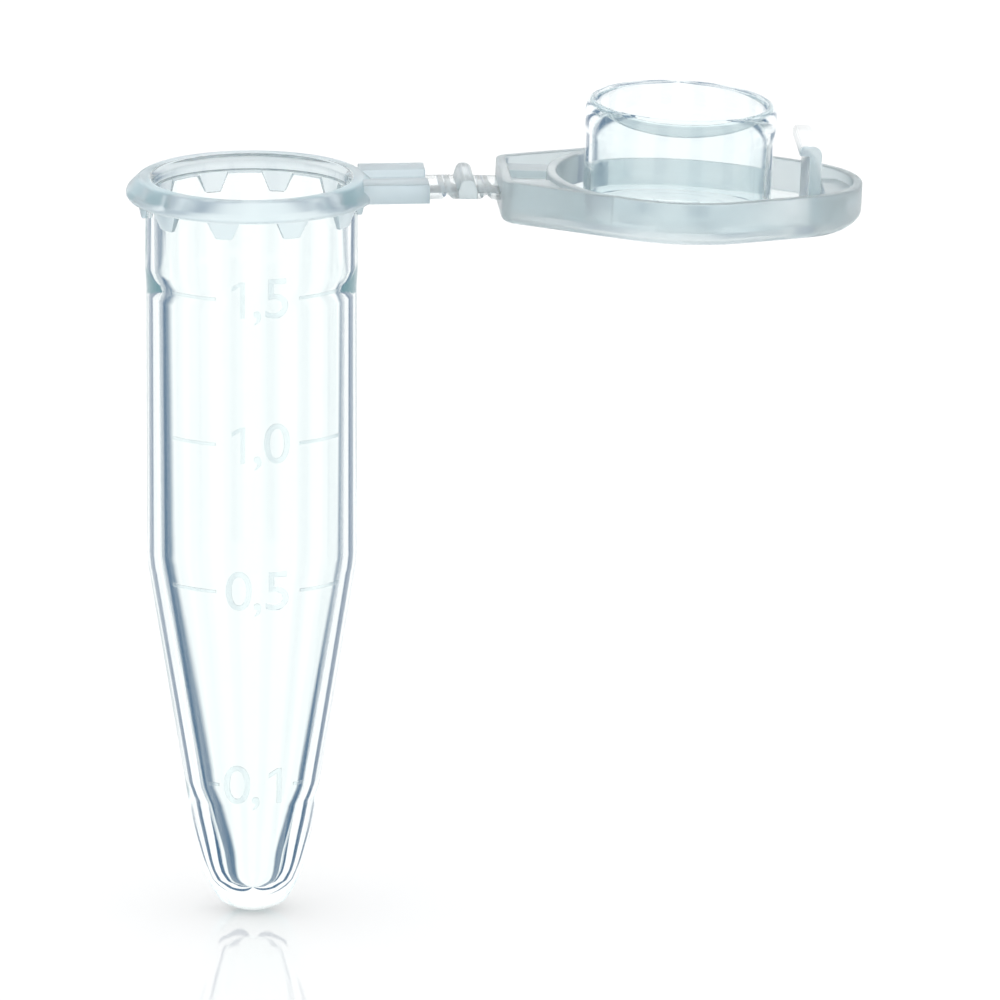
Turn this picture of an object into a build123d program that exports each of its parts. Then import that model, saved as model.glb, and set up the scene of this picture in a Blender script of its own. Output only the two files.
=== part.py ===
from build123d import *
import os
from math import acos, atan2, cos, degrees, hypot, radians, sin, tan

os.makedirs("parts", exist_ok=True)

# A 1.5 ml microcentrifuge tube with its lid open. Millimetres and degrees.
# z = 0 is the flat top of the collar, +Z runs up the tube's axis, +X runs from the tube to the lid.
# Everything is one moulding of clear polypropylene: each node is one region of it, and the
# regions meet face to face. The two thin films of the strap are its living hinges.

# ------------------------------------------------------------------ driving dimensions: tube
BORE_R = 5.0                # seal zone that the plug presses into
MOUTH_R = 5.2               # wide end of the lead-in chamfer
LEAD_IN = 0.3
NECK_R = 5.46               # outside of the seal zone
BARREL_R = 5.4
BARREL_IN_TOP_R = 4.82
BARREL_IN_END_R = 4.74
SEAL_END_Z = -4.9           # the bore steps in from here
STEP_END_Z = -5.8
BARREL_END_Z = -20.1        # the cone starts here
CONE_HALF_ANGLE = 9.25
CONE_IN_R = 2.66            # inside of the cone where the thick tip begins
TIP_START_Z = -32.2
TIP_ROUND_Z = -35.1         # the outside leaves the cone here
TIP_SHOULDER = (1.75, -38.2)
TIP_BOTTOM_Z = -38.8
WELL_TOP = (2.4, -33.1)    # inside of the tip: radius and height of its upper edge
WELL_WAIST = (1.6, -36.1)
WELL_BOTTOM_Z = -37.6

COLLAR_TOP_R = 5.8
COLLAR_R = 6.46
COLLAR_H = 1.05
COLLAR_FLARE = (6.36, -0.55)        # lower end of the flared side
COLLAR_BULGE_Z = -0.82              # height of the widest point
COLLAR_UNDER_R = 6.32               # outer edge of the flat underside
SEAT_R = 5.96                       # the collar's seating face runs from here outwards
SEAT_ROOT_Z = -0.75
TEETH = 10
TOOTH_BOTTOM_Z = -2.05
TOOTH_TOP_W, TOOTH_END_W = 1.87, 0.84
TOOTH_TOP_R, TOOTH_END_R = 5.92, 5.66

# ------------------------------------------------------------------ driving dimensions: markings
MARK_RAISE = 0.04
DIGIT_H, DIGIT_W = 1.84, 1.07
TICK_H = 0.17
TICK_INNER_X, TICK_OUTER_X = 2.15, 4.25
# volume in microlitres: (digits, height of the digits' middle, stroke, digit width, tick ends)
MARKS = {
    1500: ("15", -5.25, 0.24, DIGIT_W, (TICK_INNER_X, TICK_OUTER_X)),
    1000: ("10", -12.9, 0.24, DIGIT_W, (TICK_INNER_X, TICK_OUTER_X)),
    500: ("05", -20.7, 0.24, DIGIT_W, (TICK_INNER_X, TICK_OUTER_X)),
    100: ("01", -31.4, 0.36, 1.36, (1.9, 2.4)),
}
ONE_FLAG_DROP = 1.6         # how far the flag of the 1 starts below its top, in strokes
FIVE_BAR, FIVE_NECK, FIVE_BOWL = 0.72, 0.54, 0.32   # share of the width, height and height
FIVE_BAR_SHIFT = 0.04
FIVE_GAP = 0.75             # opening of the bowl of the 5, in bowl radii
COMMA_FOOT, COMMA_TAIL = 0.1, 0.42  # how far the comma hangs below the line
DIGIT_X = (-1.0, 0.97)      # middles of the first and second digit
COMMA_X = 0.0

# ------------------------------------------------------------------ driving dimensions: strap
STRAP_HALF_W = 2.5
STRAP_H = 1.0
STRAP_END_X = 9.0
GROOVE_HALF_W, GROOVE_DEPTH = 0.95, 0.4
FILM_HALF_W = 2.0
FILM_TOP_Z = -0.55          # the films fold about their upper surface
FILM_T = 0.35
WAIST_T, WAIST_RUN = 0.12, 0.22     # film thickness along the fold, and how far it thins over
FOLD_GAP = 0.04             # parting between the two halves of a film
FOLD_X = (9.95, 11.95)
KNUCKLE_X = 11.0
KNUCKLE_HALF_W, KNUCKLE_TOP_HALF_W = 0.5, 0.32
KNUCKLE_TOP_Z = 0.1
REST_DROOP = 1.45           # each film's droop with the lid standing open

# ------------------------------------------------------------------ driving dimensions: lid
# heights as moulded, before the droop
LID_R = 6.75
LID_TOP_Z = 0.3
LID_FLOOR_Z = -1.3
LID_BOTTOM_Z = -1.9
LID_WALL = 0.5
LID_EDGE_FILLET = 0.4
ARM_END_X = 12.7
ARM_HALF_W = 3.05
ARM_CORNER = 0.6
TAB_R = 4.5
TAB_REACH = 9.5             # lid centre to the end of the thumb tab
TAB_RISE, TAB_RISE_LENGTH = 0.4, 2.9
THUMB_BLOCK_REACH = 7.5     # lid centre to the near face of the block inside the tab
THUMB_BLOCK_HALF_W = 2.2
THUMB_BLOCK_TOP_Z = -0.2
RING_WALL_END = 4.2         # the wall across the arm stops this far from the lid's middle

PLUG_IN_R = 4.42
PLUG_R = 4.84
BEAD_R = 4.96
BEAD_START_Z, BEAD_Z, PLUG_TOP_Z = 2.35, 3.2, 4.2
LIP_R = 4.66                # outer edge of the plug's rounded lip
LIP_DROP, LIP_INNER_DROP, LIP_CROWN = 0.08, 0.06, 0.1
FLOOR_STEPS = ((3.9, -1.18), (2.5, -1.06), (1.2, -0.98))

HOOK_IN, HOOK_OUT = 6.52, 7.15      # faces of the post, from the lid's centre
NOSE_REACH = 6.0
HOOK_HALF_W = 2.45
CATCH_Z, HOOK_TOP_Z = 2.0, 2.56
CROWN_DEPTH, CROWN_BULGE, CROWN_RISE = 0.5, 0.12, 0.4   # rounded back of the nose
NOSE_SLOPE, NOSE_TOP_DROP, NOSE_TIP_RISE = 0.22, 0.06, 0.3
WINDOW_IN, WINDOW_OUT, WINDOW_HALF_W = 5.3, 6.5, 2.2

# ------------------------------------------------------------------ worked-out places
LID_X = FOLD_X[0] + FOLD_X[1]       # folding both films by 90 degrees puts this on the axis
CONE_SLOPE = tan(radians(CONE_HALF_ANGLE))
FOLDS = [Vector(x, 0, FILM_TOP_Z) for x in FOLD_X]


def cone_radius(z):
    """Outside radius of the cone at a height below the barrel."""
    return BARREL_R - (BARREL_END_Z - z) * CONE_SLOPE


def turned(points):
    """Solid of revolution about the tube's axis from a closed (radius, height) outline."""
    return revolve(Plane.XZ * make_face(Polyline(*points, close=True)), Axis.Z)


def outline_face(curves):
    """Flat face inside a closed run of lines and arcs."""
    return make_face(Wire([edge for curve in curves for edge in curve.edges()]))


def turned_curves(curves):
    """Solid of revolution from a run of curves, given as (radius, height)."""
    return revolve(Plane.XZ * outline_face(curves), Axis.Z)


def block(x, y, z):
    """Box between pairs of coordinates."""
    size = [high - low for low, high in (x, y, z)]
    middle = [(high + low) / 2 for low, high in (x, y, z)]
    return Pos(*middle) * Box(*size)


def across(points, half_width):
    """Prism along Y from a closed (x, z) outline."""
    face = make_face(Polyline(*points, close=True))
    return extrude(Plane.XZ * face, half_width, both=True)


def slab(face, low, high):
    """Upright prism of a flat outline between two heights."""
    return Pos(0, 0, low) * extrude(face, high - low)


def at_lid(solid):
    """Move a solid made about the axis to the lid's centre, as moulded."""
    return Pos(LID_X, 0, 0) * solid


def folded(solid, folds):
    """Turn a solid down by the rest droop about each of the given fold lines, last one first."""
    for fold in reversed(folds):
        solid = Pos(*fold) * Rot(0, REST_DROOP, 0) * Pos(*(fold * -1)) * solid
    return solid


# ------------------------------------------------------------------ tube
def collar_outline(bore):
    """Section of the collar ring: flat top, flared side, rounded lower edge."""
    flare = Line((COLLAR_TOP_R, 0), COLLAR_FLARE)
    round_edge = ThreePointArc(flare @ 1, (COLLAR_R, COLLAR_BULGE_Z), (COLLAR_UNDER_R, -COLLAR_H))
    inside = Polyline(round_edge @ 1, *bore, flare @ 0)
    return [flare, round_edge, inside]


def make_collar_ring():
    """Ring round the mouth; only its seating face looks down, outside the neck's flange."""
    bore = [
        (SEAT_R, -COLLAR_H), (SEAT_R, SEAT_ROOT_Z), (BORE_R, SEAT_ROOT_Z),
        (BORE_R, -LEAD_IN), (MOUTH_R, 0),
    ]
    return turned_curves(collar_outline(bore))


def make_seal_neck():
    """Seal zone, with a flange inside the collar and a tapered step to the barrel."""
    return turned([
        (BORE_R, SEAT_ROOT_Z), (SEAT_R, SEAT_ROOT_Z), (SEAT_R, -COLLAR_H),
        (NECK_R, -COLLAR_H), (NECK_R, SEAL_END_Z), (BARREL_R, STEP_END_Z),
        (BARREL_IN_TOP_R, STEP_END_Z), (BORE_R, SEAL_END_Z),
    ])


def make_barrel():
    return turned([
        (BARREL_IN_TOP_R, STEP_END_Z), (BARREL_R, STEP_END_Z),
        (BARREL_R, BARREL_END_Z), (BARREL_IN_END_R, BARREL_END_Z),
    ])


def make_cone_wall():
    return turned([
        (BARREL_IN_END_R, BARREL_END_Z), (BARREL_R, BARREL_END_Z),
        (cone_radius(TIP_START_Z), TIP_START_Z), (CONE_IN_R, TIP_START_Z),
    ])


def bowl_arc(edge, bottom_z):
    """Arc from the lowest point on the axis up to an edge point, centred on the axis."""
    rise = edge[1] - bottom_z
    ball_r = (edge[0] ** 2 + rise ** 2) / (2 * rise)
    sweep = degrees(atan2(edge[0], ball_r - rise))
    return CenterArc((0, bottom_z + ball_r), ball_r, -90, sweep)


def make_tip():
    """Thick rounded tip with a narrow well, stepped in from the cone."""
    start = (cone_radius(TIP_START_Z), TIP_START_Z)
    round_start = (cone_radius(TIP_ROUND_Z), TIP_ROUND_Z)
    cone = Line(start, round_start)
    cheek = TangentArc(round_start, TIP_SHOULDER, tangent=cone % 1)
    sole = bowl_arc(TIP_SHOULDER, TIP_BOTTOM_Z)
    axis_line = Line(sole @ 0, (0, WELL_BOTTOM_Z))
    well_sole = bowl_arc(WELL_WAIST, WELL_BOTTOM_Z)
    well_side = Polyline(well_sole @ 1, WELL_TOP, (CONE_IN_R, TIP_START_Z), start)
    return turned_curves([cone, cheek, sole, axis_line, well_sole, well_side])


def make_collar_teeth():
    """Tapered teeth under the collar, evenly spaced with a gap at the front."""
    face = make_face(Polyline(
        (-TOOTH_TOP_W / 2, -COLLAR_H), (TOOTH_TOP_W / 2, -COLLAR_H),
        (TOOTH_END_W / 2, TOOTH_BOTTOM_Z), (-TOOTH_END_W / 2, TOOTH_BOTTOM_Z), close=True,
    ))
    spoke = extrude(Plane.XZ * face, COLLAR_R)
    skirt = turned([
        (NECK_R, -COLLAR_H), (TOOTH_TOP_R, -COLLAR_H),
        (TOOTH_END_R, TOOTH_BOTTOM_Z), (NECK_R, TOOTH_BOTTOM_Z),
    ])
    tooth = spoke & skirt
    pitch = 360 / TEETH
    return [Rot(0, 0, (i + 0.5) * pitch) * tooth for i in range(TEETH)]


def make_strap():
    """Bar from the collar towards the lid, with a groove along its top."""
    bar = block((COLLAR_TOP_R - 1, STRAP_END_X), (-STRAP_HALF_W, STRAP_HALF_W), (-STRAP_H, 0))
    groove = block((0, STRAP_END_X), (-GROOVE_HALF_W, GROOVE_HALF_W), (-GROOVE_DEPTH, 1))
    collar_disc = turned_curves(collar_outline([(0, -COLLAR_H), (0, 0)]))
    return bar - groove - collar_disc


# ------------------------------------------------------------------ markings
def zero(w, stroke):
    outer = Ellipse(w / 2, DIGIT_H / 2)
    return outer - Ellipse(w / 2 - stroke, DIGIT_H / 2 - stroke)


def one(w, stroke):
    stem = Pos(w / 2 - stroke, 0) * Rectangle(stroke, DIGIT_H)
    flag = make_face(Polyline(
        (w / 2 - stroke, DIGIT_H / 2), (w / 2 - stroke, DIGIT_H / 2 - ONE_FLAG_DROP * stroke),
        (-w / 4, DIGIT_H / 4), (-w / 4, DIGIT_H / 4 + stroke), close=True,
    ))
    return stem + flag


def five(w, stroke):
    bowl_r = DIGIT_H * FIVE_BOWL
    top = DIGIT_H / 2
    bar_w, neck_h = w * FIVE_BAR, DIGIT_H * FIVE_NECK
    bar = Pos(FIVE_BAR_SHIFT, top - stroke / 2) * Rectangle(bar_w, stroke)
    neck_x = FIVE_BAR_SHIFT + (stroke - bar_w) / 2
    neck = Pos(neck_x, top - neck_h / 2) * Rectangle(stroke, neck_h)
    ring = Circle(bowl_r) - Circle(bowl_r - stroke)
    notch = Pos(-bowl_r, 0) * Rectangle(bowl_r, bowl_r * FIVE_GAP)
    return bar + neck + Pos(0, bowl_r - top) * (ring - notch)


def comma(stroke):
    low = -DIGIT_H / 2
    half = stroke / 2
    return make_face(Polyline(
        (-half, low + stroke), (half, low + stroke), (half, low - COMMA_FOOT),
        (-half, low - COMMA_TAIL), (-half / 2, low), (-half, low), close=True,
    ))


DIGITS = {"0": zero, "1": one, "5": five}


def make_wall_skin():
    """Thin skin that lies on the outside of the neck, barrel and cone."""
    def outside(grow):
        return [
            (NECK_R + grow, -COLLAR_H), (NECK_R + grow, SEAL_END_Z),
            (BARREL_R + grow, STEP_END_Z), (BARREL_R + grow, BARREL_END_Z),
            (cone_radius(TIP_ROUND_Z) + grow, TIP_ROUND_Z),
        ]
    return turned(outside(MARK_RAISE) + outside(0)[::-1])


def on_wall(sketch, z, skin):
    """Raise a flat sketch, drawn upright and facing the front, on the tube's wall."""
    prism = Pos(0, 0, z) * extrude(Plane.XZ * sketch, NECK_R + 1)
    return (prism & skin).solids()


def make_markings():
    """Two nodes for each volume: its digits, and the ring segments each side of them."""
    skin = make_wall_skin()
    nodes = {}
    for volume, (digits, z, stroke, width, (tick_in, tick_out)) in MARKS.items():
        shapes = [
            Pos(x, 0) * DIGITS[digit](width if digit == "0" else DIGIT_W, stroke)
            for x, digit in zip(DIGIT_X, digits)
        ]
        shapes.append(Pos(COMMA_X, 0) * comma(stroke))
        tick = Rectangle(tick_out - tick_in, TICK_H)
        middle = (tick_in + tick_out) / 2
        nodes[f"digits_{volume}_ul"] = [s for shape in shapes for s in on_wall(shape, z, skin)]
        nodes[f"ring_marks_{volume}_ul"] = [
            s for side in (-1, 1) for s in on_wall(Pos(side * middle, 0) * tick, z, skin)
        ]
    return nodes


# ------------------------------------------------------------------ strap hinges
def make_film_half(fold_x, side, end_x):
    """Half of a hinge film, on one side of its fold line (-1 or 1), out to the end given."""
    near = fold_x + side * FOLD_GAP / 2
    thick = near + side * WAIST_RUN
    low = FILM_TOP_Z - FILM_T
    return across([
        (near, FILM_TOP_Z), (end_x, FILM_TOP_Z), (end_x, low), (thick, low),
        (near, FILM_TOP_Z - WAIST_T),
    ], FILM_HALF_W)


def make_knuckle():
    """Stiff lump between the two films."""
    low = FILM_TOP_Z - FILM_T
    base, top = KNUCKLE_HALF_W, KNUCKLE_TOP_HALF_W
    left = Line((KNUCKLE_X - base, FILM_TOP_Z), (KNUCKLE_X - top, KNUCKLE_TOP_Z - top))
    crown = ThreePointArc(left @ 1, (KNUCKLE_X, KNUCKLE_TOP_Z), (KNUCKLE_X + top, KNUCKLE_TOP_Z - top))
    rest = Polyline(
        crown @ 1, (KNUCKLE_X + base, FILM_TOP_Z), (KNUCKLE_X + base, low),
        (KNUCKLE_X - base, low), left @ 0,
    )
    return extrude(Plane.XZ * outline_face([left, crown, rest]), FILM_HALF_W, both=True)


# ------------------------------------------------------------------ lid
def lid_outline():
    """Teardrop seen from above: arm end, round lid and thumb tab joined by tangent lines."""
    arm = Vector(ARM_END_X - LID_X, ARM_HALF_W)
    arm_turn = atan2(arm.Y, arm.X) - acos(LID_R / hypot(arm.X, arm.Y))
    tab_x = TAB_REACH - TAB_R
    tab_turn = acos((LID_R - TAB_R) / tab_x)

    def on_lid(turn):
        return (LID_R * cos(turn), LID_R * sin(turn))

    def on_tab(turn):
        return (tab_x + TAB_R * cos(turn), TAB_R * sin(turn))

    side = ThreePointArc(on_lid(arm_turn), on_lid((arm_turn + tab_turn) / 2), on_lid(tab_turn))
    upper = [Line((arm.X, arm.Y), side @ 0), side, Line(side @ 1, on_tab(tab_turn))]
    lower = [edge.mirror(Plane.XZ) for edge in upper]
    tab_end = ThreePointArc(on_tab(tab_turn), on_tab(0), on_tab(-tab_turn))
    arm_end = Line((arm.X, -arm.Y), (arm.X, arm.Y))
    face = outline_face([*upper, tab_end, *lower, arm_end])
    corners = face.vertices().sort_by(Axis.X)[:2]
    return fillet(corners, ARM_CORNER)


def make_lid_tray(outline, pocket):
    """Lid plate with its outer wall, rounded underneath and lifted under the thumb tab."""
    tray = slab(outline, LID_BOTTOM_Z, LID_TOP_Z)
    start = TAB_REACH - TAB_RISE_LENGTH
    bend = ThreePointArc(
        (start, LID_BOTTOM_Z), (start + TAB_RISE_LENGTH / 2, LID_BOTTOM_Z + TAB_RISE / 4),
        (TAB_REACH, LID_BOTTOM_Z + TAB_RISE),
    )
    below = Polyline(
        bend @ 1, (TAB_REACH + 1, LID_BOTTOM_Z + TAB_RISE), (TAB_REACH + 1, LID_BOTTOM_Z - 1),
        (start, LID_BOTTOM_Z - 1), bend @ 0,
    )
    tray -= extrude(Plane.XZ * outline_face([bend, below]), LID_R + 1, both=True)
    under = [e for e in tray.edges() if e.center().Z < (LID_FLOOR_Z + LID_BOTTOM_Z) / 2]
    rim_edges = [e for e in under if abs(e.tangent_at(0.5).Y) < 0.999 or e.center().X < -LID_R]
    tray = fillet(rim_edges, LID_EDGE_FILLET)
    window = block((WINDOW_IN, WINDOW_OUT), (-WINDOW_HALF_W, WINDOW_HALF_W), (LID_BOTTOM_Z - 1, 0))
    return tray - slab(pocket, LID_FLOOR_Z, LID_TOP_Z + 1) - window


def make_arm_ring_wall(pocket):
    """Round wall that runs on across the arm."""
    ring = slab(Circle(LID_R) - Circle(LID_R - LID_WALL), LID_FLOOR_Z, LID_TOP_Z)
    arm_side = block((-LID_X, -RING_WALL_END), (-LID_R, LID_R), (LID_FLOOR_Z, LID_TOP_Z))
    return ring & arm_side & slab(pocket, LID_FLOOR_Z, LID_TOP_Z)


def make_arm_block(pocket):
    """Grooved bar inside the arm, in line with the strap."""
    bar = block((-LID_X, 0), (-STRAP_HALF_W, STRAP_HALF_W), (LID_FLOOR_Z, 0))
    groove = block((-LID_X, 0), (-GROOVE_HALF_W, GROOVE_HALF_W), (-GROOVE_DEPTH, 1))
    lid_disc = slab(Circle(LID_R), LID_FLOOR_Z - 1, LID_TOP_Z + 1)
    return (bar - groove - lid_disc) & slab(pocket, LID_FLOOR_Z, LID_TOP_Z)


def make_thumb_block(pocket):
    bar = block(
        (THUMB_BLOCK_REACH, TAB_REACH), (-THUMB_BLOCK_HALF_W, THUMB_BLOCK_HALF_W),
        (LID_FLOOR_Z, THUMB_BLOCK_TOP_Z),
    )
    return bar & slab(pocket, LID_FLOOR_Z, LID_TOP_Z)


def make_plug_wall():
    return turned([
        (PLUG_IN_R, LID_FLOOR_Z), (PLUG_R, LID_FLOOR_Z),
        (PLUG_R, BEAD_START_Z), (PLUG_IN_R, BEAD_START_Z),
    ])


def make_sealing_bead():
    """Top of the plug: a barrel-shaped bead that narrows to a rounded lip."""
    bulge = ThreePointArc((PLUG_R, BEAD_START_Z), (BEAD_R, BEAD_Z), (LIP_R, PLUG_TOP_Z - LIP_DROP))
    lip = ThreePointArc(
        bulge @ 1, (LIP_R - LIP_CROWN, PLUG_TOP_Z), (PLUG_IN_R, PLUG_TOP_Z - LIP_INNER_DROP)
    )
    inside = Polyline(lip @ 1, (PLUG_IN_R, BEAD_START_Z), bulge @ 0)
    return turned_curves([bulge, lip, inside])


def make_floor_steps():
    """Low round steps on the lid's plate inside the plug."""
    points = [(0, LID_FLOOR_Z), (FLOOR_STEPS[0][0], LID_FLOOR_Z)]
    for (radius, z), (next_radius, _) in zip(FLOOR_STEPS, FLOOR_STEPS[1:] + ((0, 0),)):
        points += [(radius, z), (next_radius, z)]
    return turned(points)


def make_latch_post():
    return block((HOOK_IN, HOOK_OUT), (-HOOK_HALF_W, HOOK_HALF_W), (LID_FLOOR_Z, CATCH_Z))


def make_latch_nose():
    """Catch at the top of the post, pointing at the plug."""
    crown = ThreePointArc(
        (HOOK_OUT, CATCH_Z), (HOOK_OUT - CROWN_BULGE, CATCH_Z + CROWN_RISE),
        (HOOK_OUT - CROWN_DEPTH, HOOK_TOP_Z),
    )
    rest = Polyline(
        crown @ 1, (NOSE_REACH + NOSE_SLOPE, HOOK_TOP_Z - NOSE_TOP_DROP),
        (NOSE_REACH, CATCH_Z + NOSE_TIP_RISE), (NOSE_REACH, CATCH_Z), crown @ 0,
    )
    return extrude(Plane.XZ * outline_face([crown, rest]), HOOK_HALF_W, both=True)


# ------------------------------------------------------------------ assembly
def make_tube_nodes():
    nodes = {
        "collar_ring": make_collar_ring(),
        "collar_teeth": make_collar_teeth(),
        "seal_neck": make_seal_neck(),
        "barrel": make_barrel(),
        "cone_wall": make_cone_wall(),
        "tip": make_tip(),
        "strap": make_strap(),
        "strap_film": make_film_half(FOLD_X[0], -1, STRAP_END_X),
    }
    return nodes | make_markings()


def make_knuckle_nodes():
    return {
        "knuckle_film_inner": make_film_half(FOLD_X[0], 1, KNUCKLE_X - KNUCKLE_HALF_W),
        "hinge_knuckle": make_knuckle(),
        "knuckle_film_outer": make_film_half(FOLD_X[1], -1, KNUCKLE_X + KNUCKLE_HALF_W),
    }


def make_lid_nodes():
    outline = lid_outline()
    pocket = offset(outline, -LID_WALL)
    nodes = {
        "lid_tray": make_lid_tray(outline, pocket),
        "arm_ring_wall": make_arm_ring_wall(pocket),
        "arm_block": make_arm_block(pocket),
        "thumb_block": make_thumb_block(pocket),
        "plug_wall": make_plug_wall(),
        "sealing_bead": make_sealing_bead(),
        "plug_floor_steps": make_floor_steps(),
        "latch_post": make_latch_post(),
        "latch_nose": make_latch_nose(),
    }
    nodes = {name: at_lid(solid) for name, solid in nodes.items()}
    nodes["lid_film"] = make_film_half(FOLD_X[1], 1, ARM_END_X)
    return nodes


def main():
    groups = [(make_tube_nodes(), []), (make_knuckle_nodes(), FOLDS[:1]), (make_lid_nodes(), FOLDS)]
    for nodes, folds in groups:
        for name, shape in nodes.items():
            solids = shape if isinstance(shape, list) else shape.solids()
            placed = [folded(solid, folds) for solid in solids]
            export_step(Compound(children=placed), f"parts/{name}.step")
    second_fold = folded(Pos(*FOLDS[1]) * Sphere(0.1), FOLDS[:1]).center()
    print("fold lines:", FOLDS[0], "and", second_fold)


main()
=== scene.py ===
import logging
from contextlib import contextmanager
from dataclasses import dataclass
from enum import Enum
from itertools import pairwise
from math import atan, cos, hypot, pi, radians, sin, tan
from typing import Callable, Iterator, Sequence

import bmesh
import bpy
from mathutils import Matrix, Vector


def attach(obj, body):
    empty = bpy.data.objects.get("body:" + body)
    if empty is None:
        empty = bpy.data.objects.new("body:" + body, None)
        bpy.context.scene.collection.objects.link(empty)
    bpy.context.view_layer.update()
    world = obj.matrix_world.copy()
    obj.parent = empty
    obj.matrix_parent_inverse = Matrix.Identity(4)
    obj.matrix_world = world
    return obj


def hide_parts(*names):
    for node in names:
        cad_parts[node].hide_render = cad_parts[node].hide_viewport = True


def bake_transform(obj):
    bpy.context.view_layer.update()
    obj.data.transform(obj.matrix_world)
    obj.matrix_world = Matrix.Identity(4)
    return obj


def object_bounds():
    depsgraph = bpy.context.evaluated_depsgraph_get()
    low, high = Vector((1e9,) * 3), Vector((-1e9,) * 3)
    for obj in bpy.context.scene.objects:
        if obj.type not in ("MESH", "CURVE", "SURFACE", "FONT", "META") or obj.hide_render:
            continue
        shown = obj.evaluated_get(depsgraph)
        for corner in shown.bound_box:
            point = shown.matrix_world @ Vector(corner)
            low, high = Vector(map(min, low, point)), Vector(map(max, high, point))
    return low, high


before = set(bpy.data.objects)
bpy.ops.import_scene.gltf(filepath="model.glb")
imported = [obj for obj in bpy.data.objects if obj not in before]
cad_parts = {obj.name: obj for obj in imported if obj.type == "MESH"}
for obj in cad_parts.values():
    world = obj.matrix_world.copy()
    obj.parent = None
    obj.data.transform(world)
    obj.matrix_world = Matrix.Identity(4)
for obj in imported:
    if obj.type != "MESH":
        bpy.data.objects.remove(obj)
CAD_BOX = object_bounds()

log = logging.getLogger("microtube")

MM = 0.001
GROOVE_HALF_W, GROOVE_DEPTH, BAR_EDGE = 0.95, 0.4, 0.06     # of the strap and of the bar in the arm
NEAR = 1e-3             # millimetres within which two places count as one
FACING, ALONG, IN_PLANE = 0.95, 0.9, 0.999      # least cosines: face and way, edge and way, two faces
X, Y, Z = (Vector(axis) for axis in ((1, 0, 0), (0, 1, 0), (0, 0, 1)))
Point2 = tuple[float, float]
Range = tuple[float, float]
Colour = tuple[float, float, float, float]


# ---- modelling bench
class Pick(Enum):
    """What an edit-mode selection is made of."""

    POINTS = "VERT"
    EDGES = "EDGE"
    FACES = "FACE"


class Join(Enum):
    """How one closed shape is combined with another."""

    WELD = "UNION"
    CUT = "DIFFERENCE"
    KEEP_COMMON = "INTERSECT"


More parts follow.
